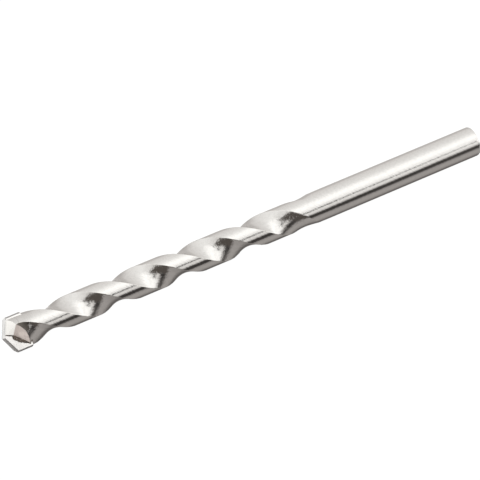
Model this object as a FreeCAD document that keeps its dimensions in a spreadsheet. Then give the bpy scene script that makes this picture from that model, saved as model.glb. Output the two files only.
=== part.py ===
"""Masonry drill bit, 8 mm, with a brazed carbide plate.

The bit lies along X: its point is at X = -overall_length, the rear face of its plain
shank is at X = 0, and its axis is the X axis. Z is up. All lengths are in millimetres,
and all angles in degrees.

Clock angles are measured about the axis, from the width of the carbide plate towards
the plate's front face, the way a right-hand flute winds as it leaves the point.
"""
import FreeCAD, Part
import os
import Sketcher

Vector = FreeCAD.Vector
Rotation = FreeCAD.Rotation
X_DIRECTION = Vector(1, 0, 0)
Z_DIRECTION = Vector(0, 0, 1)

# Driving dimensions: alias, value and what it is
SIZES = [
    ("overall_length", 120.0, "point to rear face"),
    ("shank_diameter", 7.0, "ground shank"),
    ("rear_chamfer", 0.35, "chamfer on the rear face"),
    ("land_diameter", 6.96, "over the lands between the flutes"),
    ("land_taper", 3.0, "length over which the lands' diameter grows to the shank's"),
    ("head_diameter", 7.6, "over the steel that carries the plate"),
    ("head_length", 3.6, "point to where the head begins to narrow"),
    ("head_taper", 4.0, "length over which it narrows to the lands"),
    ("flute_lead", 32.25, "travel of a flute in one full turn"),
    ("web_thickness", 4.37, "steel left between the two flute floors"),
    ("floor_crown", 18.3, "radius of the slightly crowned flute floor"),
    ("run_in_crown", 8.5, "its radius where a flute begins"),
    ("run_out_crown", 4.25, "its radius where a flute ends, close to the bar's own"),
    ("flute_clock", 57.4, "clock angle of the first flute at the point"),
    ("flute_start", 2.2, "point to where the flutes begin"),
    ("run_in", 7.4, "length over which they deepen behind the head"),
    ("flute_reach", 77.5, "point to where the flutes have faded out"),
    ("run_out", 13.5, "length over which they fade into the shank"),
    ("tip_diameter", 8.0, "hole size, across the carbide plate"),
    ("point_angle", 130.0, "between the two cutting edges"),
    ("relief_angle", 2.0, "fall of the end faces behind the cutting edges"),
    ("plate_thickness", 3.2, "carbide plate"),
    ("plate_depth", 5.2, "point to the rear edge of the plate"),
    ("braze_gap", 0.15, "film of braze between the plate and its slot"),
    ("back_off_clock", 70.0, "way in which the steel end face falls back"),
    ("back_off_tilt", 51.8, "its slope from square to the axis"),
    ("back_off_depth", 0.02, "point to that face, at the middle of the plate"),
    ("gash_floor_clock", 118.2, "way in which the floor of the gash falls back"),
    ("gash_floor_tilt", 64.5, "its slope from square to the axis"),
    ("gash_floor_depth", 1.32, "point to that floor, at the middle of the plate"),
    ("gash_wall_clock", 123.5, "the same for the steep wall at the gash's front"),
    ("gash_wall_tilt", 75.3, "its slope"),
    ("gash_wall_depth", 0.87, "and its depth"),
    ("head_roll", 38.5, "plate above the level, as the bit lies"),
]

RUN_OUT_COUNT = 8          # sections of the two stretches in which a flute fades
RUN_IN_COUNT = 5
RUN_OUT_POWER = 1.2        # how softly a flute floor leaves its full depth in each
RUN_IN_POWER = 1.7
FLUTES = 2

doc = FreeCAD.newDocument("masonry_drill_bit")
sheet = doc.addObject("Spreadsheet::Sheet", "Sizes")
for row, (alias, value, meaning) in enumerate(SIZES, start=1):
    sheet.set(f"A{row}", alias)
    sheet.set(f"B{row}", str(value))
    sheet.set(f"C{row}", meaning)
    sheet.setAlias(f"B{row}", alias)
doc.recompute()


def new_body(name):
    """A body and its origin planes and axes by their role."""
    body = doc.addObject("PartDesign::Body", name)
    origin = {item.Role: item for item in body.Origin.OriginFeatures}
    return body, origin


def new_sketch(body, plane, name, offset=None, offset_expressions=()):
    """A sketch on an origin plane, moved by expressions on its offset."""
    sketch = body.newObject("Sketcher::SketchObject", name)
    sketch.AttachmentSupport = [(plane, "")]
    sketch.MapMode = "FlatFace"
    if offset is not None:
        sketch.AttachmentOffset = offset
    for path, expression in offset_expressions:
        sketch.setExpression(f"AttachmentOffset.{path}", expression)
    return sketch


def closed_outline(sketch, points):
    """Straight lines through the points and back, joined at their ends."""
    count = len(points)
    for i in range(count):
        start, end = Vector(*points[i], 0), Vector(*points[(i + 1) % count], 0)
        sketch.addGeometry(Part.LineSegment(start, end))
    for i in range(count):
        sketch.addConstraint(Sketcher.Constraint("Coincident", i, 2, (i + 1) % count, 1))


def place_point(sketch, line, end, name, x=None, y=None):
    """Ties one end of a line to distances from the sketch's origin."""
    for axis, expression in (("X", x), ("Y", y)):
        if expression is None:
            continue
        current = sketch.getPoint(line, end)
        value = current.x if axis == "X" else current.y
        label = f"{name}_{axis.lower()}"
        constraint = Sketcher.Constraint(f"Distance{axis}", -1, 1, line, end, value)
        sketch.addConstraint(constraint)
        sketch.renameConstraint(sketch.ConstraintCount - 1, label)
        sketch.setExpression(f"Constraints.{label}", expression)


def polar_pair(body, origin, name, features):
    """Repeats features half a turn round the axis."""
    pair = body.newObject("PartDesign::PolarPattern", name)
    pair.Originals = features
    pair.Axis = (origin["X_Axis"], [""])
    pair.Angle = 360
    pair.Occurrences = FLUTES
    body.Tip = pair
    return pair


def planar_cut(body, origin, name, clock, tilt, depth, height):
    """Cuts away all that lies before a sloping plane.

    The plane passes the point that lies depth behind the bit's point and height from
    the middle of the plate. It falls back towards the clock angle, by tilt from square.
    """
    offset = FreeCAD.Placement(Vector(-1, 0, 1), Rotation(X_DIRECTION, 60))
    sketch = new_sketch(body, origin["XY_Plane"], f"{name}_profile", offset, (
        ("Base.x", f"{depth} - Sizes.overall_length"),
        ("Base.z", height),
        ("Rotation.Angle", f"({clock}) * 1 deg"),
    ))
    closed_outline(sketch, ((20, 8), (-20, -8), (-20, 8)))
    sketch.addConstraint(Sketcher.Constraint("Symmetric", 0, 1, 0, 2, -1, 1))
    sketch.addConstraint(Sketcher.Constraint("Vertical", 1))
    reach = "2 * Sizes.tip_diameter"
    place_point(sketch, 0, 1, "edge", x=f"({reach}) * tan(({tilt}) * 1 deg)", y=reach)
    place_point(sketch, 2, 1, "corner", y=reach)
    cut = body.newObject("PartDesign::Pocket", name)
    cut.Profile = (sketch, [""])
    cut.SideType = "Symmetric"
    cut.setExpression("Length", f"2 * ({reach})")
    return cut


def flute_section(body, origin, name, distance, floor, crown):
    """The section that a flute takes out, square to the axis.

    distance is from the point along the axis, floor from the axis to the middle of the
    flute floor, and crown the floor's radius. The section turns with the lead and
    reaches past the bar.
    """
    clock = f"(Sizes.flute_clock + 360 * ({distance}) / Sizes.flute_lead) * 1 deg"
    offset = FreeCAD.Placement(Vector(0, 0, -1), Rotation(Z_DIRECTION, 60))
    sketch = new_sketch(body, origin["YZ_Plane"], name, offset, (
        ("Base.z", f"({distance}) - Sizes.overall_length"),
        ("Rotation.Angle", clock),
    ))
    half_width = "0.58 * Sizes.land_diameter"
    edge = f"({floor}) - ({crown}) + sqrt(({crown}) ^ 2 - ({half_width}) ^ 2)"
    sketch.addGeometry(Part.Arc(Vector(1.8, -4, 0), Vector(2.2, 0, 0), Vector(1.8, 4, 0)))
    corners = ((1.8, 4), (5, 4), (5, -4), (1.8, -4))
    for start, end in zip(corners, corners[1:]):
        sketch.addGeometry(Part.LineSegment(Vector(*start, 0), Vector(*end, 0)))
    for joint in ((0, 2, 1, 1), (1, 2, 2, 1), (2, 2, 3, 1), (3, 2, 0, 1)):
        sketch.addConstraint(Sketcher.Constraint("Coincident", *joint))
    for line, kind in ((1, "Horizontal"), (2, "Vertical"), (3, "Horizontal")):
        sketch.addConstraint(Sketcher.Constraint(kind, line))
    sketch.addConstraint(Sketcher.Constraint("Radius", 0, sketch.Geometry[0].Radius))
    sketch.renameConstraint(sketch.ConstraintCount - 1, "crown")
    sketch.setExpression("Constraints.crown", crown)
    place_point(sketch, 1, 1, "edge", x=edge, y=half_width)
    place_point(sketch, 2, 1, "outside", x="0.7 * Sizes.land_diameter")
    place_point(sketch, 3, 2, "heel", y=f"-1 * ({half_width})")
    return sketch


def faded_flute(body, origin, name, count, start, length, power, diameter, end_crown):
    """The stretch in which a flute floor leaves its full depth and fades out.

    start is where the floor is at full depth, and length is positive towards the shank.
    diameter is the bar's where the flute ends.
    The floor's radius goes from its own to the one at the end, most of it early.
    """
    full_floor = "0.5 * Sizes.web_thickness"
    fade = f"0.5 * {diameter} + 0.02 - 0.5 * Sizes.web_thickness"
    last_crown = f"max({end_crown}; 0.6 * Sizes.land_diameter)"
    profiles = []
    for i in range(count):
        share = i / (count - 1)
        curving = 1 - (1 - share) ** 2
        distance = f"{start} + {share:.4f} * ({length})"
        floor = f"{full_floor} + {share ** power:.4f} * ({fade})"
        crown = f"1 / ({1 - curving:.4f} / Sizes.floor_crown + {curving:.4f} / {last_crown})"
        profiles.append(flute_section(body, origin, f"{name}_{i}", distance, floor, crown))
    loft = body.newObject("PartDesign::SubtractiveLoft", name)
    loft.Profile = (profiles[0], [""])
    loft.Sections = [(profile, [""]) for profile in profiles[1:]]
    return loft


# Steel bar: turned round, chamfered at the rear, with two flutes and a ground head
steel, steel_origin = new_body("steel_bar")
blank_profile = new_sketch(steel, steel_origin["XY_Plane"], "blank_profile")
closed_outline(blank_profile, ((-120, 0), (0, 0), (0, 3.2), (-0.35, 3.6), (-40, 3.6),
                               (-43, 3.5), (-112.4, 3.5), (-116.4, 3.8), (-120, 3.8)))
blank_profile.addConstraint(Sketcher.Constraint("PointOnObject", 0, 1, -1))
blank_profile.addConstraint(Sketcher.Constraint("Coincident", 0, 2, -1, 1))
for line, kind in ((1, "Vertical"), (3, "Horizontal"), (5, "Horizontal"),
                   (7, "Horizontal"), (8, "Vertical")):
    blank_profile.addConstraint(Sketcher.Constraint(kind, line))
SHANK_RADIUS = "0.5 * Sizes.shank_diameter"
place_point(blank_profile, 0, 1, "point", x="-1 * Sizes.overall_length")
place_point(blank_profile, 1, 2, "chamfer_inside", y=f"{SHANK_RADIUS} - Sizes.rear_chamfer")
place_point(blank_profile, 2, 2, "chamfer_outside", x="-1 * Sizes.rear_chamfer", y=SHANK_RADIUS)
place_point(blank_profile, 3, 2, "shank_front",
            x="Sizes.flute_reach + Sizes.land_taper - Sizes.overall_length")
place_point(blank_profile, 4, 2, "land_rear",
            x="Sizes.flute_reach - Sizes.overall_length", y="0.5 * Sizes.land_diameter")
place_point(blank_profile, 5, 2, "land_front",
            x="Sizes.head_length + Sizes.head_taper - Sizes.overall_length")
place_point(blank_profile, 6, 2, "head_rear",
            x="Sizes.head_length - Sizes.overall_length", y="0.5 * Sizes.head_diameter")
blank = steel.newObject("PartDesign::Revolution", "blank")
blank.Profile = (blank_profile, [""])
blank.ReferenceAxis = (steel_origin["X_Axis"], [""])
blank.Angle = 360

FULL_START = "Sizes.flute_start + Sizes.run_in"
FULL_END = "Sizes.flute_reach - Sizes.run_out"
flute_profile = flute_section(steel, steel_origin, "flute_profile", FULL_START,
                              "0.5 * Sizes.web_thickness", "Sizes.floor_crown")
flute = steel.newObject("PartDesign::SubtractiveHelix", "flute")
flute.Profile = (flute_profile, [""])
flute.ReferenceAxis = (steel_origin["X_Axis"], [""])
flute.Mode = "pitch-height-angle"
flute.setExpression("Pitch", "Sizes.flute_lead")
flute.setExpression("Height", f"({FULL_END}) - ({FULL_START})")
flute.LeftHanded = False
flute.Reversed = False

flute_run_out = faded_flute(steel, steel_origin, "flute_run_out", RUN_OUT_COUNT,
                            f"({FULL_END})", "Sizes.run_out", RUN_OUT_POWER,
                            "Sizes.land_diameter", "Sizes.run_out_crown")
flute_run_in = faded_flute(steel, steel_origin, "flute_run_in", RUN_IN_COUNT,
                           f"({FULL_START})", "-1 * Sizes.run_in", RUN_IN_POWER,
                           "Sizes.head_diameter", "Sizes.run_in_crown")
polar_pair(steel, steel_origin, "two_flutes", [flute, flute_run_out, flute_run_in])

HALF_PLATE = "0.5 * Sizes.plate_thickness"
back_off = planar_cut(steel, steel_origin, "back_off", "Sizes.back_off_clock",
                      "Sizes.back_off_tilt", "Sizes.back_off_depth", HALF_PLATE)
polar_pair(steel, steel_origin, "two_back_offs", [back_off])


def wheel_side(name, turn, clock, tilt, depth):
    """A block that ends in one side of the grinding wheel, read as planar_cut reads it."""
    block = doc.addObject("Part::Box", name)
    reach = "2 * Sizes.tip_diameter"
    for size in ("Length", "Width", "Height"):
        block.setExpression(size, reach)
    point = f"vector({depth} - Sizes.overall_length; 0; {HALF_PLATE})"
    block.setExpression("Placement", (
        f"placement(vector(0; 0; 0); rotation(vector(1; 0; 0); {turn}))"
        f" * placement({point}; rotation(vector(1; 0; 0); {clock}))"
        f" * placement(vector(0; 0; 0); rotation(vector(0; 0; 1); 180 - {tilt}))"
        f" * placement(vector(0; -0.5 * {reach}; -0.5 * {reach}); rotation(vector(0; 0; 1); 0))"
    ))
    return block


# Gash before each half of the plate, where the corner of the grinding wheel went in
gashes = []
for side in range(FLUTES):
    turn = f"{side} * 360 / {FLUTES}"
    wheel = doc.addObject("Part::Common", f"gash_{side}")
    wheel.Base = wheel_side(f"gash_floor_{side}", turn, "Sizes.gash_floor_clock",
                            "Sizes.gash_floor_tilt", "Sizes.gash_floor_depth")
    wheel.Tool = wheel_side(f"gash_wall_{side}", turn, "Sizes.gash_wall_clock",
                            "Sizes.gash_wall_tilt", "Sizes.gash_wall_depth")
    gashes.append(wheel)
both_gashes = doc.addObject("Part::MultiFuse", "both_gashes")
both_gashes.Shapes = gashes
ground_bar = doc.addObject("Part::Cut", "ground_bar")
ground_bar.Base = steel
ground_bar.Tool = both_gashes

# Carbide plate: a thick flat plate with a roof-shaped end and ground sides
plate, plate_origin = new_body("carbide_plate")
plate_profile = new_sketch(plate, plate_origin["XY_Plane"], "plate_profile",
                           FreeCAD.Placement(Vector(-1, 0, 0), Rotation()),
                           (("Base.x", "-1 * Sizes.overall_length"),))
closed_outline(plate_profile, ((0, -4.5), (5.2, -4.5), (5.2, 4.5), (0, 4.5)))
for line, kind in enumerate(("Horizontal", "Vertical", "Horizontal", "Vertical")):
    plate_profile.addConstraint(Sketcher.Constraint(kind, line))
plate_profile.addConstraint(Sketcher.Constraint("PointOnObject", 0, 1, -2))
place_point(plate_profile, 1, 1, "rear", x="Sizes.plate_depth", y="-0.6 * Sizes.tip_diameter")
place_point(plate_profile, 2, 1, "side", y="0.6 * Sizes.tip_diameter")
plate_blank = plate.newObject("PartDesign::Pad", "plate_blank")
plate_blank.Profile = (plate_profile, [""])
plate_blank.SideType = "Symmetric"
plate_blank.setExpression("Length", "Sizes.plate_thickness")

side_profile = new_sketch(plate, plate_origin["XY_Plane"], "side_grinding_profile",
                          FreeCAD.Placement(Vector(-1, 0, 0), Rotation()),
                          (("Base.x", "-1 * Sizes.overall_length"),))
closed_outline(side_profile, ((-1, 4), (7, 4), (7, 6), (-1, 6)))
for line, kind in enumerate(("Horizontal", "Vertical", "Horizontal", "Vertical")):
    side_profile.addConstraint(Sketcher.Constraint(kind, line))
place_point(side_profile, 0, 1, "front", x="-0.5 * Sizes.plate_depth",
            y="0.5 * Sizes.tip_diameter")
place_point(side_profile, 2, 1, "rear", x="1.5 * Sizes.plate_depth",
            y="Sizes.tip_diameter + Sizes.plate_thickness")
side_grinding = plate.newObject("PartDesign::Groove", "side_grinding")
side_grinding.Profile = (side_profile, [""])
side_grinding.ReferenceAxis = (plate_origin["X_Axis"], [""])
side_grinding.Angle = 360

FALL = "tan((90 - Sizes.point_angle / 2) * 1 deg)"
RELIEF = "tan(Sizes.relief_angle * 1 deg)"
end_face = planar_cut(plate, plate_origin, "end_face",
                      f"atan({RELIEF} / {FALL}) / 1 deg",
                      f"atan(sqrt({FALL} ^ 2 + {RELIEF} ^ 2)) / 1 deg", "0", "0")
polar_pair(plate, plate_origin, "two_end_faces", [end_face])

# Slot across the head, and the film of braze that is left between slot and plate
slot = doc.addObject("Part::Box", "slot")
plate_seat = doc.addObject("Part::Box", "plate_seat")
for box, gap in ((slot, "Sizes.braze_gap"), (plate_seat, "0")):
    box.setExpression("Length", f"2 * Sizes.plate_depth + {gap}")
    box.setExpression("Width", "2 * Sizes.tip_diameter")
    box.setExpression("Height", f"Sizes.plate_thickness + 2 * {gap}")
    box.setExpression("Placement.Base.x", "-1 * Sizes.overall_length - Sizes.plate_depth")
    box.setExpression("Placement.Base.y", "-1 * Sizes.tip_diameter")
    box.setExpression("Placement.Base.z", f"-0.5 * Sizes.plate_thickness - {gap}")

slot_lining = doc.addObject("Part::Cut", "slot_lining")
slot_lining.Base = slot
slot_lining.Tool = plate_seat

drill_body = doc.addObject("Part::Cut", "drill_body")
drill_body.Base = ground_bar
drill_body.Tool = slot

braze_seam = doc.addObject("Part::Common", "braze_seam")
braze_seam.Base = ground_bar
braze_seam.Tool = slot_lining

# The bit lies rolled about its axis, so that its plate stands clear of the surface
SUB_PARTS = (drill_body, plate, braze_seam)
for item in SUB_PARTS:
    item.Placement = FreeCAD.Placement(Vector(0, 0, 0), Rotation(X_DIRECTION, 38.5))
    item.setExpression("Placement.Rotation.Angle", "Sizes.head_roll * 1 deg")
doc.recompute()

for item in doc.Objects:
    if "Invalid" in item.State or "Error" in item.State:
        raise RuntimeError(f"{item.Name} did not compute: {item.State}")
for item in SUB_PARTS:
    if item.Shape.isNull() or not item.Shape.isValid():
        raise RuntimeError(f"{item.Label} has no valid shape")

os.makedirs("parts", exist_ok=True)
for item in SUB_PARTS:
    item.Shape.exportStep(f"parts/{item.Label}.step")
    box = item.Shape.BoundBox
    print(f"{item.Label}: {len(item.Shape.Solids)} solid, {item.Shape.Volume:.2f} mm3, "
          f"X {box.XMin:.2f} to {box.XMax:.2f}, Y {box.YMin:.2f} to {box.YMax:.2f}, "
          f"Z {box.ZMin:.2f} to {box.ZMax:.2f}")
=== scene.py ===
import math

import bpy
from mathutils import Matrix, Vector, noise


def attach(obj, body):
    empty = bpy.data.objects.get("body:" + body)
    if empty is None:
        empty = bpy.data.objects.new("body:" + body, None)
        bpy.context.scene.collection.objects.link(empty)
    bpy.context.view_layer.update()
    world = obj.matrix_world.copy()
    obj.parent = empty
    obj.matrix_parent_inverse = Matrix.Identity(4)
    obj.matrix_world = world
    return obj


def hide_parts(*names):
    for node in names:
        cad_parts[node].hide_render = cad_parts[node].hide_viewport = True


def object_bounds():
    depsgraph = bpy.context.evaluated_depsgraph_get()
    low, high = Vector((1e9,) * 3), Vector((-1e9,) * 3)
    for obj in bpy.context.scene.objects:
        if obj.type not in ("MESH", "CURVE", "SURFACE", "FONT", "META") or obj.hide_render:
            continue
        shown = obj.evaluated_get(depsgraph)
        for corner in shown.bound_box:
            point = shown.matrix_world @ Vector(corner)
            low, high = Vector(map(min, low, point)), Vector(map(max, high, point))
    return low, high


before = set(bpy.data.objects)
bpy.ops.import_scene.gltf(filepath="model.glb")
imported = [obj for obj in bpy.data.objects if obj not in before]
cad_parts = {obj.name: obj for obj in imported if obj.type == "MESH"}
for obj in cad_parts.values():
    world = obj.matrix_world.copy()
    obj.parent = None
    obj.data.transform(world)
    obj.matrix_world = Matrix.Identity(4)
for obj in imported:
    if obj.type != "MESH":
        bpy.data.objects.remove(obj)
cad_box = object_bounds()


# Steel bar: a round bar of tool steel, ground on its shank and lands, with two wide
# shallow flutes that were cut straight and twisted with the bar. Its head flares out to
# carry the carbide, is ground back on both sides of it and is slotted for it.
MM = 0.001
LENGTH = 120 * MM
SHANK_RADIUS = 3.5 * MM
REAR_CHAMFER = 0.35 * MM
LAND_RADIUS = 3.48 * MM
LAND_TAPER = 3 * MM
HEAD_RADIUS = 3.8 * MM
HEAD_LENGTH = 3.6 * MM
HEAD_TAPER = 4 * MM
FLUTE_LEAD = 32.25 * MM
FLUTE_CLOCK = 57.4
FLUTE_START = 2.2 * MM
RUN_IN = 7.4 * MM
RUN_IN_POWER = 1.7
RUN_IN_CROWN = 8.5 * MM
FLUTE_REACH = 77.5 * MM
RUN_OUT = 13.5 * MM
RUN_OUT_POWER = 1.2
RUN_OUT_CROWN = 4.25 * MM
FLOOR_HEIGHT = 2.185 * MM
FLOOR_CROWN = 18.3 * MM
FLUTE_HALF_WIDTH = 4.04 * MM
HEAD_ROLL = 38.5
PLATE_HALF = 1.6 * MM
PLATE_DEPTH = 5.2 * MM
BRAZE_GAP = 0.15 * MM
# Facets of the ground head: the clock, the tilt and the depth of each
BACK_OFF = (70.0, 51.8, 0.02 * MM)
GASH_FLOOR = (118.2, 64.5, 1.32 * MM)
GASH_WALL = (123.5, 75.3, 0.87 * MM)
ON_FACET = 0.002 * MM
EDGE_BREAK = 0.035 * MM
RING_STEP = 0.5 * MM
WEB_STRIPS = 18
PAST_SURFACE = 0.02 * MM
WHEEL_SIZE = 20 * MM
SHARP_EDGE = math.radians(24)
SMOOTH_BELOW = math.radians(25)
POLISHED, WORN_EDGE, END_FACET, GASH_FACET = range(4)


def put_down_all():
    """Ends edit mode and deselects every object."""
    if bpy.context.object and bpy.context.object.mode != "OBJECT":
        bpy.ops.object.mode_set(mode="OBJECT")
    bpy.ops.object.select_all(action="DESELECT")


def pick_up(piece):
    """Makes a piece the one that operators act on."""
    put_down_all()
    piece.select_set(True)
    bpy.context.view_layer.objects.active = piece


def lay_in_place(piece):
    """Moves a piece's place, turn and size into its mesh."""
    pick_up(piece)
    bpy.ops.object.transform_apply(location=True, rotation=True, scale=True)


def turn_about_axis(piece, degrees):
    """Turns a piece about the bit's axis, and keeps that in its mesh."""
    piece.rotation_euler = (math.radians(degrees), 0, 0)
    lay_in_place(piece)


def apply_modifier(piece, kind, **settings):
    """Adds one modifier, sets it and applies it."""
    pick_up(piece)
    modifier = piece.modifiers.new(kind.lower(), kind)
    for name, value in settings.items():
        setattr(modifier, name, value)
    bpy.ops.object.modifier_apply(modifier=modifier.name)


def cut_with(piece, cutter, operation="DIFFERENCE"):
    """Cuts a piece with a second mesh, which is used up."""
    apply_modifier(piece, "BOOLEAN", operation=operation, object=cutter, solver="EXACT")
    bpy.data.objects.remove(cutter)


def sliced(piece, places, normal):
    """Divides a piece by parallel planes at the given distances from the origin."""
    pick_up(piece)
    bpy.ops.object.mode_set(mode="EDIT")
    for place in places:
        bpy.ops.mesh.select_all(action="SELECT")
        bpy.ops.mesh.bisect(plane_co=Vector(normal) * place, plane_no=normal)
    bpy.ops.object.mode_set(mode="OBJECT")


def planed(piece, point, normal):
    """Planes away all of a piece that lies on the normal's side of a plane."""
    pick_up(piece)
    bpy.ops.object.mode_set(mode="EDIT")
    bpy.ops.mesh.select_all(action="SELECT")
    bpy.ops.mesh.bisect(plane_co=point, plane_no=normal, use_fill=True, clear_outer=True)
    bpy.ops.object.mode_set(mode="OBJECT")


def grind(piece, *planes):
    """Grinds away what lies outside of all the given planes at once."""
    bpy.ops.mesh.primitive_cube_add(size=WHEEL_SIZE, location=(-LENGTH, 0, 0))
    wheel = bpy.context.object
    lay_in_place(wheel)
    for point, normal in planes:
        planed(wheel, point, -normal)
    cut_with(piece, wheel)


def break_edges(piece, width, material, front, rear):
    """Breaks the sharp edges that lie between two distances from the bit's point.

    The ridge between two ground end facets stays as sharp as the wheel left it.
    """
    pick_up(piece)
    bpy.ops.object.mode_set(mode="EDIT")
    bpy.ops.mesh.select_mode(type="EDGE")
    bpy.ops.mesh.select_all(action="DESELECT")
    bpy.ops.mesh.edges_select_sharp(sharpness=SHARP_EDGE)
    bpy.ops.object.mode_set(mode="OBJECT")
    between_facets = [key for face in piece.data.polygons if face.material_index == END_FACET
                      for key in face.edge_keys]
    for face in piece.data.polygons:
        face.select = False
    for edge in piece.data.edges:
        ends = [piece.data.vertices[i].co.x + LENGTH for i in edge.vertices]
        is_ridge = between_facets.count(edge.key) == 2
        edge.select = (edge.select and not is_ridge
                       and front < min(ends) and max(ends) < rear)
    bpy.ops.object.mode_set(mode="EDIT")
    bpy.ops.mesh.bevel(offset=width, segments=2, material=material)
    bpy.ops.object.mode_set(mode="OBJECT")


def between(distance, start, length, first, last):
    """A size that goes evenly from first to last over a length of the bar."""
    share = min(max((distance - start) / length, 0), 1)
    return first + share * (last - first)


def bar_radius(distance):
    """The bar's radius at a distance from the point."""
    if distance < FLUTE_REACH:
        return between(distance, HEAD_LENGTH, HEAD_TAPER, HEAD_RADIUS, LAND_RADIUS)
    return between(distance, FLUTE_REACH, LAND_TAPER, LAND_RADIUS, SHANK_RADIUS)


def flute_floor(distance):
    """Half the steel between the flutes, and the radius of their crowned floors.

    Before and behind the flutes it lies outside the bar, so nothing is cut there.
    """
    if distance > FLUTE_REACH or distance < FLUTE_START:
        return 1.5 * SHANK_RADIUS, FLOOR_CROWN
    share, power, end_radius, end_crown = 0, 1, LAND_RADIUS, FLOOR_CROWN
    if distance > FLUTE_REACH - RUN_OUT:
        share = (distance - FLUTE_REACH + RUN_OUT) / RUN_OUT
        power, end_crown = RUN_OUT_POWER, RUN_OUT_CROWN
    elif distance < FLUTE_START + RUN_IN:
        share = (FLUTE_START + RUN_IN - distance) / RUN_IN
        power, end_radius, end_crown = RUN_IN_POWER, HEAD_RADIUS, RUN_IN_CROWN
    rise = (end_radius + PAST_SURFACE - FLOOR_HEIGHT) * share ** power
    curving = 1 - (1 - share) ** 2
    return FLOOR_HEIGHT + rise, 1 / ((1 - curving) / FLOOR_CROWN + curving / end_crown)


def facet_plane(side, clock, tilt, depth):
    """A ground facet's plane: a point on it, and its outward normal."""
    turn = Matrix.Rotation(math.radians(HEAD_ROLL + side), 3, "X")
    slope, way = math.tan(math.radians(tilt)), math.radians(clock)
    normal = Vector((-1, slope * math.cos(way), slope * math.sin(way))).normalized()
    return turn @ Vector((-LENGTH + depth, 0, PLATE_HALF)), turn @ normal


put_down_all()
bpy.ops.mesh.primitive_cylinder_add(vertices=128, radius=SHANK_RADIUS, depth=LENGTH,
                                    location=(-LENGTH / 2, 0, 0),
                                    rotation=(0, math.radians(90), 0))
bar = bpy.context.object
bar.name = "steel_bar"
lay_in_place(bar)
for material_place in range(4):
    bar.data.materials.append(None)
break_edges(bar, REAR_CHAMFER, POLISHED, LENGTH - MM, LENGTH + MM)
rings = [-LENGTH + i * RING_STEP for i in range(int(LENGTH / RING_STEP))]
sliced(bar, rings[1:], (1, 0, 0))
for vertex in bar.data.vertices:
    if vertex.co.x < -REAR_CHAMFER:
        vertex.co.yz = vertex.co.yz * bar_radius(vertex.co.x + LENGTH) / SHANK_RADIUS

# What the flutes leave of the bar, with a crowned floor above and below
bpy.ops.mesh.primitive_cube_add(size=2, location=(-LENGTH / 2, 0, 0),
                                scale=(0.55 * LENGTH, FLUTE_HALF_WIDTH, FLOOR_HEIGHT))
web = bpy.context.object
lay_in_place(web)
sliced(web, [FLUTE_HALF_WIDTH * i / WEB_STRIPS for i in range(1 - WEB_STRIPS, WEB_STRIPS)],
       (0, 1, 0))
sliced(web, rings + [0], (1, 0, 0))
for vertex in web.data.vertices:
    height, crown = flute_floor(vertex.co.x + LENGTH)
    height -= crown - math.sqrt(crown ** 2 - vertex.co.y ** 2)
    vertex.co.z = math.copysign(height, vertex.co.z)
turn_about_axis(web, HEAD_ROLL + FLUTE_CLOCK + 360 * LENGTH / FLUTE_LEAD - 90)
cut_with(bar, web, "INTERSECT")
apply_modifier(bar, "SIMPLE_DEFORM", deform_method="TWIST", deform_axis="X",
               angle=2 * math.pi * LENGTH / FLUTE_LEAD)

# The head is ground alike on both sides, then slotted
for side in (0, 180):
    grind(bar, facet_plane(side, *BACK_OFF))
    grind(bar, facet_plane(side, *GASH_FLOOR), facet_plane(side, *GASH_WALL))
bpy.ops.mesh.primitive_cube_add(size=2, location=(-LENGTH, 0, 0),
                                scale=(PLATE_DEPTH + BRAZE_GAP, 6 * MM, PLATE_HALF + BRAZE_GAP))
slot_cutter = bpy.context.object
turn_about_axis(slot_cutter, HEAD_ROLL)
cut_with(bar, slot_cutter)
# The gash walls take the end facets' finish, whose painted reflection makes them as pale as the
# end facets
for side in (0, 180):
    for shape, finish in ((BACK_OFF, END_FACET), (GASH_WALL, END_FACET),
                          (GASH_FLOOR, GASH_FACET)):
        point, normal = facet_plane(side, *shape)
        for face in bar.data.polygons:
            on_plane = abs((face.center - point).dot(normal)) < ON_FACET
            if on_plane and face.normal.dot(normal) > 0.999:
                face.material_index = finish
break_edges(bar, EDGE_BREAK, WORN_EDGE, 0, FLUTE_REACH)
pick_up(bar)
bpy.ops.object.shade_smooth_by_angle(angle=SMOOTH_BELOW)


def add_node(tree, kind, inputs=None, **settings):
    """Adds a node, sets it up, and feeds it with numbers or other nodes' outputs."""
    node = tree.nodes.new(kind)
    for name, value in settings.items():
        setattr(node, name, value)
    for name, value in (inputs or {}).items():
        if isinstance(value, bpy.types.NodeSocket):
            tree.links.new(value, node.inputs[name])
        else:
            node.inputs[name].default_value = value
    return node


def calculate(tree, operation, *values):
    """A Math node on numbers and on other nodes' outputs."""
    node = add_node(tree, "ShaderNodeMath", dict(enumerate(values)), operation=operation)
    return node.outputs[0]


def soft_step(tree, value, start, end):
    """0 before start, 1 after end, and smooth between them."""
    node = add_node(tree, "ShaderNodeMapRange",
                    {"Value": value, "From Min": min(start, end), "From Max": max(start, end),
                     "To Min": float(start > end), "To Max": float(start < end)},
                    interpolation_type="SMOOTHSTEP")
    return node.outputs[0]


def blended(tree, share, first, last):
    """A colour between two, by a share."""
    node = add_node(tree, "ShaderNodeMix", {0: share, 6: first, 7: last}, data_type="RGBA")
    return node.outputs[2]


def new_group(name, inputs, outputs):
    """An empty shader node group with number sockets."""
    group = bpy.data.node_groups.new(name, "ShaderNodeTree")
    for label in inputs:
        group.interface.new_socket(label, in_out="INPUT", socket_type="NodeSocketFloat")
    for label in outputs:
        group.interface.new_socket(label, in_out="OUTPUT", socket_type="NodeSocketFloat")
    return group, group.nodes.new("NodeGroupInput"), group.nodes.new("NodeGroupOutput")


def place_group(tree, group, **inputs):
    """One use of a node group, with its own values."""
    node = tree.nodes.new("ShaderNodeGroup")
    node.node_tree = group
    for label, value in inputs.items():
        node.inputs[label].default_value = value
    return node.outputs


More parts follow.
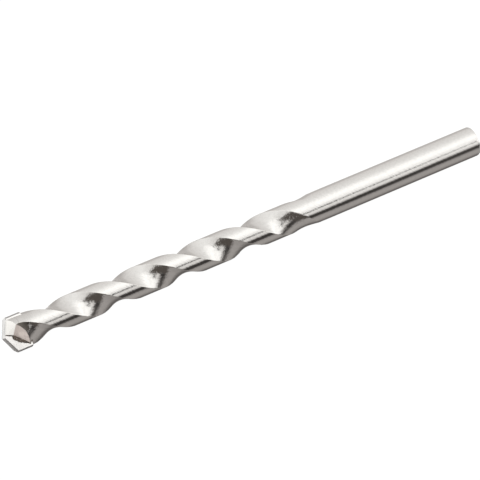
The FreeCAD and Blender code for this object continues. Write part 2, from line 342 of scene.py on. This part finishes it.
def new_material(name, metallic):
    """A material whose shader waits for its colour, roughness and bump."""
    material = bpy.data.materials.new(name)
    material.use_nodes = True
    shader = material.node_tree.nodes["Principled BSDF"]
    shader.inputs["Metallic"].default_value = metallic
    return material, material.node_tree, shader


def finish_material(tree, shader, colour, roughness, height, depth):
    """Feeds a shader with colour, roughness, and a relief of the given depth."""
    bump = add_node(tree, "ShaderNodeBump", {"Height": height, "Distance": depth})
    tree.links.new(colour, shader.inputs["Base Color"])
    tree.links.new(roughness, shader.inputs["Roughness"])
    tree.links.new(bump.outputs[0], shader.inputs["Normal"])


def before_plate(tree, place):
    """Distance along the plate's width, positive on the side that each half leads with."""
    unrolled = add_node(tree, "ShaderNodeVectorRotate",
                        {"Vector": place, "Angle": math.radians(-HEAD_ROLL)},
                        rotation_type="X_AXIS").outputs[0]
    _, y, z = add_node(tree, "ShaderNodeSeparateXYZ", {0: unrolled}).outputs
    return calculate(tree, "MULTIPLY", y, calculate(tree, "SIGN", z))


# Lines left by a grinding wheel: short along the bar, long round it, and slanted
grinding, entry, leave = new_group("grinding lines", ("Lengthwise", "Around", "Slant"),
                                   ("Height", "Streak"))
place = add_node(grinding, "ShaderNodeTexCoord").outputs["Object"]
x, y, z = add_node(grinding, "ShaderNodeSeparateXYZ", {0: place}).outputs
slanted = calculate(grinding, "MULTIPLY_ADD", calculate(grinding, "ADD", y, z),
                    entry.outputs["Slant"], x)
stretched = add_node(grinding, "ShaderNodeCombineXYZ", {
    0: calculate(grinding, "MULTIPLY", slanted, entry.outputs["Lengthwise"]),
    1: calculate(grinding, "MULTIPLY", y, entry.outputs["Around"]),
    2: calculate(grinding, "MULTIPLY", z, entry.outputs["Around"])}).outputs[0]
lines = add_node(grinding, "ShaderNodeTexNoise",
                 {"Vector": stretched, "Scale": 1, "Detail": 3, "Roughness": 0.6})
streaks = add_node(grinding, "ShaderNodeTexNoise",
                   {"Vector": stretched, "Scale": 0.3, "Detail": 2, "Roughness": 0.5})
grinding.links.new(lines.outputs[0], leave.inputs["Height"])
grinding.links.new(soft_step(grinding, streaks.outputs[0], 0.35, 0.65), leave.inputs["Streak"])

# Mottle of a surface that was polished without grinding it flat
mottle, entry, leave = new_group("polished mottle", ("Fineness",), ("Height", "Patch"))
place = add_node(mottle, "ShaderNodeTexCoord").outputs["Object"]
fine = add_node(mottle, "ShaderNodeTexNoise",
                {"Vector": place, "Scale": entry.outputs["Fineness"], "Detail": 2,
                 "Roughness": 0.5, "Distortion": 0.6})
broad = add_node(mottle, "ShaderNodeTexNoise",
                 {"Vector": place, "Scale": calculate(mottle, "MULTIPLY",
                                                      entry.outputs["Fineness"], 0.35),
                  "Detail": 2, "Roughness": 0.5, "Distortion": 0.4})
mottle.links.new(calculate(mottle, "MULTIPLY_ADD", broad.outputs[0], 2.4, fine.outputs[0]),
                 leave.inputs["Height"])
mottle.links.new(soft_step(mottle, broad.outputs[0], 0.4, 0.62), leave.inputs["Patch"])


def ground_finish(name, metallic, tones, marks, fineness, roughness, depth):
    """A ground surface: two tones in patches, and the wheel's lines across them.

    Roughness is given as what the lines add to it, and as what it is between them.
    """
    material, tree, shader = new_material(name, metallic)
    cut = place_group(tree, grinding, **marks)
    patches = place_group(tree, mottle, Fineness=fineness)
    finish_material(tree, shader, blended(tree, patches["Patch"], *tones),
                    calculate(tree, "MULTIPLY_ADD", cut["Streak"], *roughness),
                    cut["Height"], depth)
    return material


steel, tree, shader = new_material("polished steel", 1)
place = add_node(tree, "ShaderNodeTexCoord").outputs["Object"]
x, y, z = add_node(tree, "ShaderNodeSeparateXYZ", {0: place}).outputs
radius = calculate(tree, "SQRT", calculate(tree, "ADD", calculate(tree, "MULTIPLY", y, y),
                                           calculate(tree, "MULTIPLY", z, z)))
distance = calculate(tree, "ADD", x, LENGTH)
bar_surface = add_node(tree, "ShaderNodeMapRange",
                       {"Value": distance, "From Min": HEAD_LENGTH,
                        "From Max": HEAD_LENGTH + HEAD_TAPER, "To Min": HEAD_RADIUS,
                        "To Max": LAND_RADIUS}).outputs[0]
# The flutes lie below the ground surface, and were polished but not ground
sunk = calculate(tree, "SUBTRACT", bar_surface, radius)
in_flute = soft_step(tree, sunk, 0.01 * MM, 0.07 * MM)
ground = place_group(tree, grinding, Lengthwise=2400, Around=420, Slant=0.5)
polish = place_group(tree, mottle, Fineness=4200)
relief = add_node(tree, "ShaderNodeMix",
                  {0: in_flute, 2: calculate(tree, "MULTIPLY", ground["Height"], 2.2),
                   3: polish["Height"]}).outputs[0]
# The photo shows a dark zone behind the gash. It is painted shade, a dark reflection of the head
# put into the steel's colour there.
# It ends raggedly, and reaches further on the side that the plate leads with.
SHADE_FADES = (6.5 * MM, 5.2 * MM)
SHADE_RAGGED = 0.55 * MM
SHADE_LEAN = 0.55
ragged_end = calculate(tree, "MULTIPLY_ADD", polish["Patch"], SHADE_RAGGED, distance)
ragged_end = calculate(tree, "MULTIPLY_ADD", before_plate(tree, place), -SHADE_LEAN, ragged_end)
painted_shade = soft_step(tree, ragged_end, *SHADE_FADES)
painted_shade = calculate(tree, "MULTIPLY", painted_shade, soft_step(tree, sunk, -0.01 * MM, 0.05 * MM))
bright = blended(tree, polish["Patch"], (0.79, 0.78, 0.765, 1), (0.765, 0.755, 0.74, 1))
# Painted shade: the steel turns dark brown where this mask is set
colour = blended(tree, painted_shade, bright, (0.125, 0.113, 0.1, 1))
dull = calculate(tree, "MULTIPLY_ADD", polish["Patch"], 0.04,
                 calculate(tree, "MULTIPLY_ADD", ground["Streak"], 0.03, 0.055))
dull = calculate(tree, "MULTIPLY_ADD", painted_shade, 0.22, dull)
finish_material(tree, shader, colour, dull, relief, 0.018 * MM)
bar.data.materials[POLISHED] = steel

edge_steel, tree, shader = new_material("worn steel edge", 1)
chips = place_group(tree, mottle, Fineness=3500)
finish_material(tree, shader,
                blended(tree, chips["Patch"], (0.84, 0.825, 0.8, 1), (0.5, 0.48, 0.45, 1)),
                calculate(tree, "MULTIPLY_ADD", chips["Patch"], 0.2, 0.16),
                chips["Height"], 0.006 * MM)
bar.data.materials[WORN_EDGE] = edge_steel

# The photo shows the ground faces matt and nearly white, so they are set up as little or
# no metal, which bare ground steel isn't. Their pale tones are painted reflection: the near-white
# of the end facets and the beige of the gashes stand in for the light these faces mirror
for name, finish, metallic, tones in (
        ("ground end facet with painted reflection", END_FACET, 0, ((0.84, 0.82, 0.78, 1), (0.8, 0.78, 0.74, 1))),
        ("ground gash with painted reflection", GASH_FACET, 0.25, ((0.7, 0.62, 0.57, 1), (0.56, 0.49, 0.45, 1)))):
    bar.data.materials[finish] = ground_finish(
        name, metallic, tones, {"Lengthwise": 900, "Around": 3600, "Slant": 0.6},
        fineness=1500, roughness=(0.12, 0.42), depth=0.01 * MM)
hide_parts("drill_body")
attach(bar, "root")


# Carbide plate: sintered tungsten carbide, ground to a roof point, with its cutting
# edges honed. It is brazed into the slot across the steel head.
TIP_RADIUS = 4 * MM
POINT_ANGLE = 130
RELIEF_ANGLE = 2
HONING = 0.05 * MM
RAKE_FACE, RELIEF, HONED = range(3)
bpy.ops.mesh.primitive_cube_add(size=2, location=(-LENGTH + PLATE_DEPTH / 2, 0, 0),
                                scale=(PLATE_DEPTH / 2, 1.2 * TIP_RADIUS, PLATE_HALF))
plate = bpy.context.object
plate.name = "carbide_tip"
lay_in_place(plate)
for material_place in range(3):
    plate.data.materials.append(None)
fall = math.tan(math.radians(90 - POINT_ANGLE / 2))
relief_fall = math.tan(math.radians(RELIEF_ANGLE))
for half in (1, -1):
    planed(plate, (-LENGTH, 0, 0), Vector((-1, half * fall, half * relief_fall)).normalized())
bpy.ops.mesh.primitive_cylinder_add(vertices=160, radius=TIP_RADIUS, depth=4 * PLATE_DEPTH,
                                    location=(-LENGTH, 0, 0),
                                    rotation=(0, math.radians(90), 0))
side_grinding = bpy.context.object
lay_in_place(side_grinding)
cut_with(plate, side_grinding, "INTERSECT")
for face in plate.data.polygons:
    face.material_index = RAKE_FACE if abs(face.normal.z) > 0.99 else RELIEF
turn_about_axis(plate, HEAD_ROLL)
break_edges(plate, HONING, HONED, -MM, 2 * PLATE_DEPTH)
pick_up(plate)
bpy.ops.object.shade_smooth_by_angle(angle=SMOOTH_BELOW)
# The rake faces' near-white tone with little metal is painted reflection, on a finish that really
# is unground; the other faces are metal and mirror the room
for name, finish, metallic, light_tone, dark_tone, base in (
        ("sintered carbide with painted reflection", RAKE_FACE, 0.25, (0.94, 0.92, 0.89, 1), (0.88, 0.86, 0.83, 1), 0.34),
        ("ground carbide", RELIEF, 0.9, (0.54, 0.535, 0.53, 1), (0.46, 0.455, 0.45, 1), 0.24),
        ("honed carbide edge", HONED, 0.8, (0.86, 0.85, 0.84, 1), (0.62, 0.61, 0.6, 1), 0.25)):
    plate.data.materials[finish] = ground_finish(
        name, metallic, (light_tone, dark_tone),
        {"Lengthwise": 600, "Around": 4200, "Slant": 0.2},
        fineness=2600, roughness=(0.1, base), depth=0.006 * MM)
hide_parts("carbide_plate")
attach(plate, "root")


# Braze: the thin film between the carbide and its slot, and the uneven bead that ran out
# of it along the corner before each half of the plate. Brown from the flux, and rough.
BEAD_LENGTH = 5.7 * MM
# At shares of the bead's length, in millimetres: its distance from the point and its
# place across the plate, and then its width
BEAD_PATH = ((0, 0.46, 0.46), (0.27, 1.84, -0.2), (1, 4.72, -3.10))
BEAD_WIDTHS = ((0, 0.1), (0.24, 0.16), (0.31, 0.72), (0.6, 0.84), (0.76, 0.5), (0.9, 0.26),
               (1, 0.08))
BEAD_RINGS = 72
# The height of the bead's middle in millimetres, and the share of its width that goes
# forward, with the same share going sideways
BEAD_HEIGHT = 1.62
BEAD_SLANT = 0.7


def along_bead(share, table):
    """The sizes at a share of the bead's length, from a table of them."""
    for (start, *first), (end, *last) in zip(table, table[1:]):
        if share <= end:
            part = (share - start) / (end - start)
            return [a + (b - a) * part for a, b in zip(first, last)]
    return table[-1][1:]


def swing(amount, share, waves, seed, aside=0):
    """A smooth, random swing about nothing, by the share of the bead's length."""
    return amount * noise.noise(Vector((share * waves, aside, seed)))


bpy.ops.mesh.primitive_cylinder_add(vertices=20, radius=MM, depth=BEAD_LENGTH,
                                    location=(BEAD_LENGTH / 2, 0, 0),
                                    rotation=(0, math.radians(90), 0))
bead = bpy.context.object
bead.name = "braze_bead_front"
lay_in_place(bead)
sliced(bead, [BEAD_LENGTH * i / BEAD_RINGS for i in range(1, BEAD_RINGS)], (1, 0, 0))
for vertex in bead.data.vertices:
    share = min(max(vertex.co.x / BEAD_LENGTH, 0), 1)
    distance, across = along_bead(share, BEAD_PATH)
    width = along_bead(share, BEAD_WIDTHS)[0]
    angle = math.atan2(vertex.co.z, vertex.co.y)
    ragged = 1 + swing(0.55, share, waves=22, seed=3) + swing(0.5, share, waves=70, seed=7)
    reach = (0.5 * width + 0.07) * math.cos(angle)
    reach = reach * ragged if reach > 0 else reach
    reach += 0.5 * width - 0.03
    lift = (0.1 + 0.4 * width) * math.sin(angle)
    lift *= 1 + swing(0.7, share, waves=40, seed=11, aside=2 * reach)
    vertex.co = Vector((distance - BEAD_SLANT * reach - LENGTH / MM,
                        across - BEAD_SLANT * reach, BEAD_HEIGHT + lift)) * MM
turn_about_axis(bead, HEAD_ROLL)
apply_modifier(bead, "SUBSURF", levels=1, render_levels=1)
pick_up(bead)
bpy.ops.object.shade_smooth()

braze, tree, shader = new_material("flux-stained braze with painted glints", 0.35)
stain = place_group(tree, mottle, Fineness=2800)
# Painted glints: light specks mixed into the brown stand in for glints of light on the bead
painted_glint = add_node(tree, "ShaderNodeTexNoise",
                 {"Vector": add_node(tree, "ShaderNodeTexCoord").outputs["Object"],
                  "Scale": 5200, "Detail": 1})
brown = blended(tree, stain["Patch"], (0.1, 0.077, 0.062, 1), (0.05, 0.038, 0.031, 1))
finish_material(tree, shader,
                blended(tree, soft_step(tree, painted_glint.outputs[0], 0.66, 0.74), brown,
                        (0.5, 0.46, 0.42, 1)),
                calculate(tree, "MULTIPLY_ADD", stain["Patch"], 0.2, 0.45),
                stain["Height"], 0.03 * MM)
bead.data.materials.append(braze)
pick_up(bead)
bpy.ops.object.duplicate()
other_bead = bpy.context.object
other_bead.name = "braze_bead_rear"
turn_about_axis(other_bead, 180)
for piece in (bead, other_bead):
    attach(piece, "root")

# The photo shows no line of film across the end faces, so it is bright there, and brown
# only along the gashes
seam, tree, shader = new_material("braze film", 0.6)
place = add_node(tree, "ShaderNodeTexCoord").outputs["Object"]
stain = place_group(tree, mottle, Fineness=2800)
finish_material(tree, shader,
                blended(tree, soft_step(tree, before_plate(tree, place), 0.2 * MM, 0.6 * MM),
                        (0.12, 0.085, 0.064, 1), (0.82, 0.81, 0.785, 1)),
                calculate(tree, "MULTIPLY_ADD", stain["Patch"], 0.15, 0.4),
                stain["Height"], 0.01 * MM)
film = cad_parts["braze_seam"]
film.data.materials.clear()
film.data.materials.append(seam)


# Studio: a table that gives off plain white light, a wide soft lamp overhead, and a room
# that only glossy rays see. The room isn't a plain soft light: its brightness was fitted
# to the grey levels that the photo's steel shows in each direction of reflection.
TABLE_SIZE = 3
TABLE_GLOW = 0.98
bpy.ops.mesh.primitive_plane_add(size=TABLE_SIZE, location=(0, 0, cad_box[0][2]))
table = bpy.context.object
table.name = "table"
paper = bpy.data.materials.new("white light table")
paper.use_nodes = True
shader = paper.node_tree.nodes["Principled BSDF"]
shader.inputs["Base Color"].default_value = (0.05, 0.05, 0.05, 1)
shader.inputs["Roughness"].default_value = 0.9
shader.inputs["Emission Color"].default_value = (1, 1, 1, 1)
shader.inputs["Emission Strength"].default_value = TABLE_GLOW
table.data.materials.append(paper)
table.visible_glossy = False

room = bpy.data.worlds.new("studio")
bpy.context.scene.world = room
room.use_nodes = True
tree = room.node_tree
tree.nodes.clear()
direction = add_node(tree, "ShaderNodeTexCoord").outputs["Generated"]
along, across, height = add_node(tree, "ShaderNodeSeparateXYZ", {0: direction}).outputs
angle = calculate(tree, "ARCTAN2", height, calculate(tree, "MULTIPLY", across, -1))
angle = calculate(tree, "WRAP", angle, 1.5 * math.pi, -0.5 * math.pi)
share = calculate(tree, "DIVIDE", calculate(tree, "ADD", angle, 0.5 * math.pi), 2 * math.pi)

# Degrees round the bar, from under it by its near side, the front, and up and over, each
# with its fitted brightness. The middle of the bar faces the first of three sides of the
# room. The narrow dark band from 34 to 39 degrees makes the thin line on the shank.
UNDER = ((-90, 0.14), (-79, 0.2), (-64, 0.34), (-45, 0.39), (-30, 0.37))
OVER = ((58, 1.2), (76, 1.36), (92, 1.25), (104, 1.07), (120, 0.92), (150, 0.82),
        (172, 0.74), (183, 0.57), (210, 0.55), (232, 0.45), (254, 0.14), (264, 0.12))
FACING = UNDER + ((-21, 0.29), (-15, 0.05), (-1, 0.04), (6, 0.07), (13, 0.68), (20, 0.82),
                  (32, 0.8), (34, 0.02), (39, 0.02), (41, 0.84), (48, 0.95)) + OVER
BEFORE_HEAD = ((-90, 0.16), (-76, 0.3), (-30, 0.36), (-21, 0.2), (-8, 0.07), (2, 0.1),
               (12, 0.7), (40, 0.78), (66, 0.9), (90, 1.02), (120, 0.97), (150, 0.85),
               (180, 0.5), (206, 0.45), (212, 1.5), (223, 1.5), (232, 0.7), (244, 0.34),
               (262, 0.14))
BEHIND_SHANK = UNDER + ((-22, 0.3), (-13, 0.12), (0, 0.06), (7, 0.12), (15, 0.65),
                        (26, 1.1), (46, 1.3)) + OVER


def round_the_bar(side):
    """The light that one side of the room sends to the bar, by the angle round it."""
    node = add_node(tree, "ShaderNodeValToRGB", {0: share})
    elements = node.color_ramp.elements
    elements.remove(elements[1])
    for i, (degrees, brightness) in enumerate(side):
        stop = elements[0] if i == 0 else elements.new((degrees + 90) / 360)
        stop.position = (degrees + 90) / 360
        dusk = max(1 - brightness, 0)
        stop.color = (brightness * (1.01 + 0.08 * dusk), brightness,
                      brightness * (0.98 - 0.03 * dusk), 1)
    return node.outputs[0]


# Where one side of the room passes into the next, by the share that points along the bar
HEAD_CORNER = (0.27, -0.14)
SHANK_CORNER = (0.38, 0.5)
light = blended(tree, soft_step(tree, along, *HEAD_CORNER), round_the_bar(FACING),
                round_the_bar(BEFORE_HEAD))
light = blended(tree, soft_step(tree, along, *SHANK_CORNER), light, round_the_bar(BEHIND_SHANK))

# A dark patch before the head, fitted to the dark blobs in the photo's flutes. It stands
# for whoever held the camera, stooping over the bit, which nothing in the photo proves.
# It has soft borders: two in degrees round the bar, and two along it.
STOOP = 1.05
PATCH_FOOT, PATCH_TOP = (-29, -19), (66, 53)
PATCH_REAR, PATCH_FRONT = (0.1, 0.03), (-0.55, -0.49)
turned = calculate(tree, "MULTIPLY", angle, 180 / math.pi)
stooping = calculate(tree, "MULTIPLY_ADD", calculate(tree, "ARCSINE", along),
                     -STOOP * 180 / math.pi, turned)
body = calculate(tree, "MULTIPLY", soft_step(tree, turned, *PATCH_FOOT),
                 soft_step(tree, stooping, *PATCH_TOP))
body = calculate(tree, "MULTIPLY", body, soft_step(tree, along, *PATCH_REAR))
body = calculate(tree, "MULTIPLY", body, soft_step(tree, along, *PATCH_FRONT))
light = blended(tree, body, light, (0.095, 0.083, 0.074, 1))
glossy = add_node(tree, "ShaderNodeLightPath").outputs["Is Glossy Ray"]
# Every other ray sees plain white
plain = add_node(tree, "ShaderNodeBackground", {"Color": (1, 1, 1, 1)}).outputs[0]
mirrored = add_node(tree, "ShaderNodeBackground", {"Color": light}).outputs[0]
mixed = add_node(tree, "ShaderNodeMixShader", {0: glossy, 1: plain, 2: mirrored}).outputs[0]
add_node(tree, "ShaderNodeOutputWorld", {"Surface": mixed})

LAMP_HEIGHT = 0.8
LAMP_WIDTH = 1.2
LAMP_POWER = 2
bpy.ops.object.light_add(type="AREA", location=(-LENGTH / 2, 0, LAMP_HEIGHT))
lamp = bpy.context.object
lamp.name = "overhead light"
lamp.data.shape = "SQUARE"
lamp.data.size = LAMP_WIDTH
lamp.data.energy = LAMP_POWER
lamp.visible_glossy = False
lamp.visible_camera = False


# Camera: looks along the bit from in front of its head and above, from over half a metre.
# Its place was fitted to the photo, where the axis lies a pixel above the frame's middle.
AZIMUTH, ELEVATION = math.radians(-29.739), math.radians(47.466)
CAMERA_DISTANCE = 532.6 * MM
AIM = Vector((-61.84 * MM, 0, 0))
AXIS_DROP = 0.969 / 2400
back = Vector((math.sin(AZIMUTH) * math.cos(ELEVATION),
               -math.cos(AZIMUTH) * math.cos(ELEVATION), math.sin(ELEVATION)))
bpy.ops.object.camera_add()
camera = bpy.context.object
camera.data.sensor_width = 36
camera.data.lens = 180
camera.rotation_mode = "QUATERNION"
camera.rotation_quaternion = back.to_track_quat("Z", "Y")
sideways = camera.rotation_quaternion @ Vector((1, 0, 0))
upward = camera.rotation_quaternion @ Vector((0, 1, 0))
slope = math.atan2(upward.x, sideways.x)
drop = sideways * math.sin(slope) - upward * math.cos(slope)
camera.location = AIM + (back + drop * AXIS_DROP) * CAMERA_DISTANCE
camera.data.clip_start = 0.01
camera.data.clip_end = 20
bpy.context.scene.camera = camera
bpy.context.scene.view_settings.view_transform = "Standard"

put_down_all()
